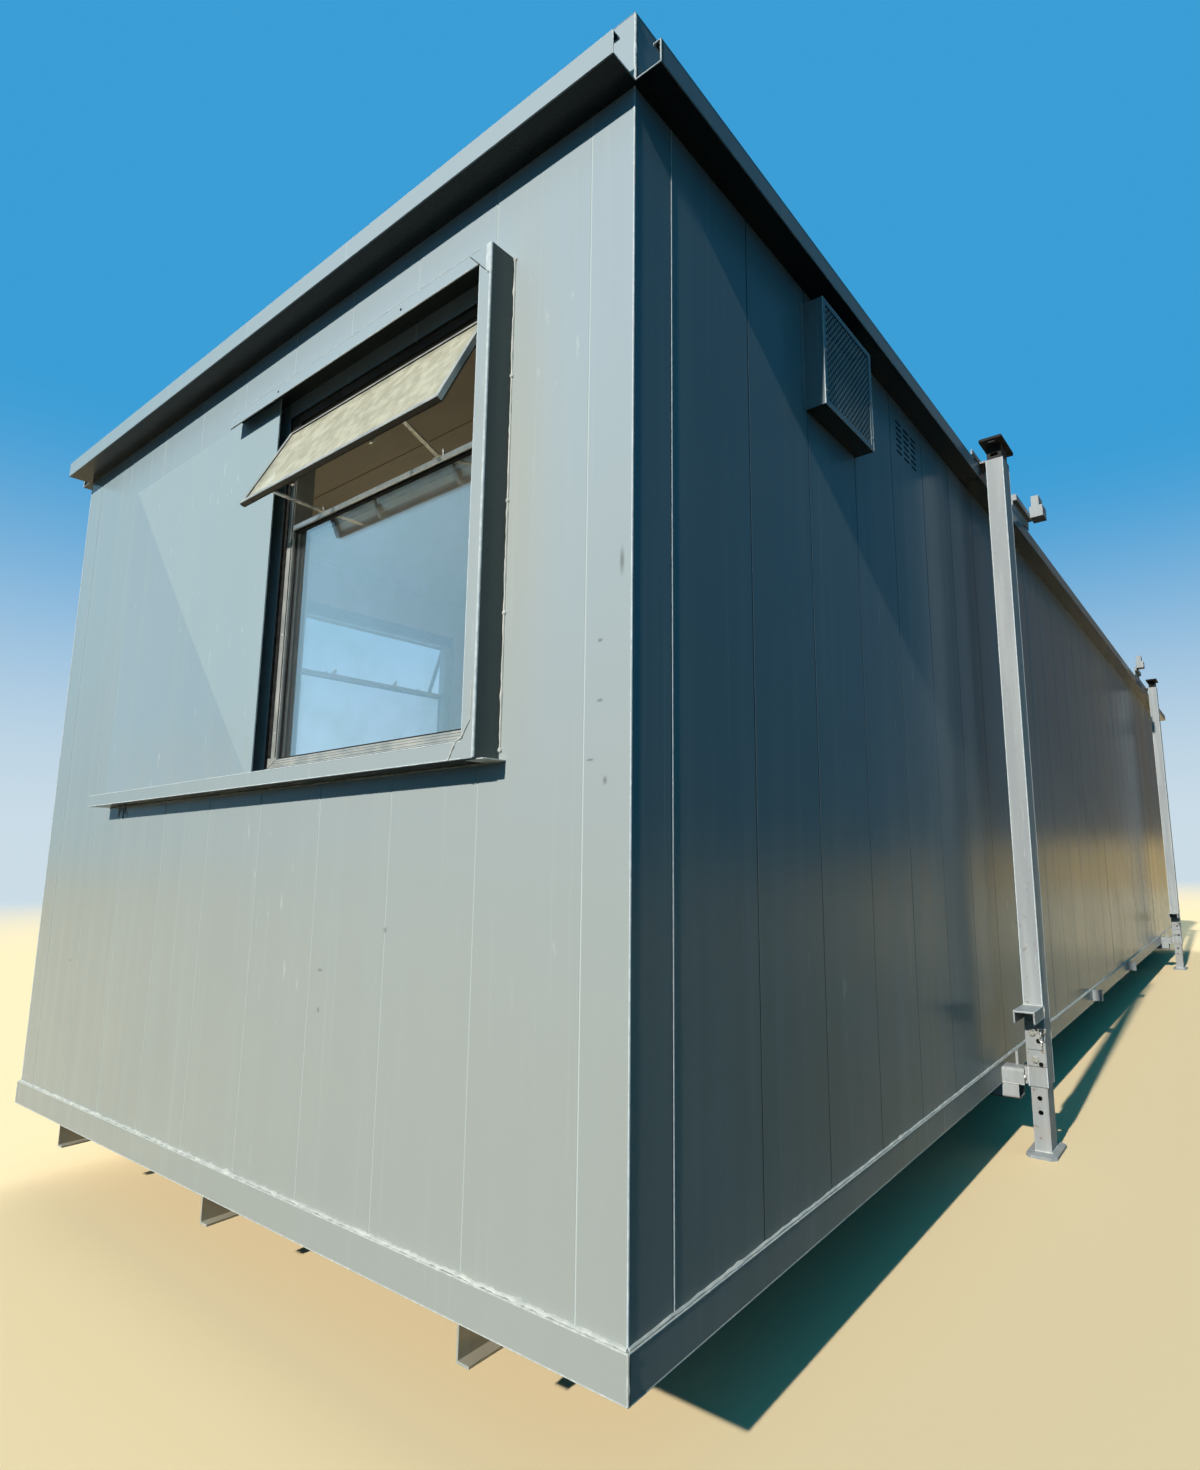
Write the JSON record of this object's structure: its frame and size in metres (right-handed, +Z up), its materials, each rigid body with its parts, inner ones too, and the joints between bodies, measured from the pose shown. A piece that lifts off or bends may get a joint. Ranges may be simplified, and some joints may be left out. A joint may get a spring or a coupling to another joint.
{
  "type": "portable site cabin on jacking legs",
  "caption": "Long steel-clad portable cabin with a flat roof, gutters, a shuttered window in its end wall and telescopic jacking legs with foot plates along both sides.",
  "frame": {"origin": "on the ground, at the centre of the overall box", "axes": "+Y along the cabin, away from the end wall with the window; +X towards the right long wall with the vents; +Z up"},
  "size_m": [3.38, 9.8996, 2.91],
  "materials": {
    "body_paint": "satin blue-grey paint, dusty",
    "leg_paint": "worn grey paint",
    "base_steel": "dusty grey paint with chips",
    "dark_steel": "worn dark paint",
    "roof_paint": "weathered grey coating",
    "lining": "vinyl faced lining board",
    "ceiling_lining": "vinyl faced ceiling board",
    "floor_board": "flooring grade board",
    "window_aluminium": "weathered mill finish",
    "stay_steel": "zinc plated",
    "clear_glass": "clear",
    "dusty_glass": "obscured and dusty"
  },
  "bodies": {
    "cabin": {"end_base_rails": "body_paint", "side_base_rails": "body_paint", "floor_joists": "base_steel", "floor_deck": "floor_board", "floor_runners": "base_steel", "jack_beams": "leg_paint", "rail_sockets": "leg_paint", "front_wall": "lining", "back_wall": "lining", "right_wall": "lining", "left_wall": "lining", "front_cladding": "body_paint", "back_cladding": "body_paint", "right_cladding": "body_paint", "left_cladding": "body_paint", "corner_posts": "body_paint", "end_roof_edges": "body_paint", "side_roof_edges": "body_paint", "ceiling": "ceiling_lining", "roof_deck": "roof_paint", "end_gutters": "body_paint", "side_gutters": "body_paint", "front_window_frame": "window_aluminium", "left_window_frame": "window_aluminium", "window_glass": "clear_glass", "front_vent_sash": "window_aluminium", "left_vent_sash": "window_aluminium", "vent_glass": "dusty_glass", "vent_stay_bars": "stay_steel", "front_shutter_frame": "body_paint", "left_shutter_frame": "body_paint", "front_shutter": "body_paint", "left_shutter": "body_paint", "door_frame": "body_paint", "door": "body_paint", "vent_cowl": "body_paint", "cowl_grille": "body_paint", "leg_tubes": "leg_paint", "leg_caps": "dark_steel", "leg_brackets": "leg_paint"},
    "jack_foot_front_right": {"foot_front_right": "leg_paint"},
    "jack_foot_front_left": {"foot_front_left": "leg_paint"},
    "jack_foot_back_right": {"foot_back_right": "leg_paint"},
    "jack_foot_back_left": {"foot_back_left": "leg_paint"}
  },
  "joints": [
    {"name": "jack_front_right", "type": "slide", "parent": "cabin", "child": "jack_foot_front_right", "axis": [0, 0, -1], "range_m": [-0.2, 1.2]},
    {"name": "jack_front_left", "type": "slide", "parent": "cabin", "child": "jack_foot_front_left", "axis": [0, 0, -1], "range_m": [-0.2, 1.2]},
    {"name": "jack_back_right", "type": "slide", "parent": "cabin", "child": "jack_foot_back_right", "axis": [0, 0, -1], "range_m": [-0.2, 1.2]},
    {"name": "jack_back_left", "type": "slide", "parent": "cabin", "child": "jack_foot_back_left", "axis": [0, 0, -1], "range_m": [-0.2, 1.2]}
  ]
}
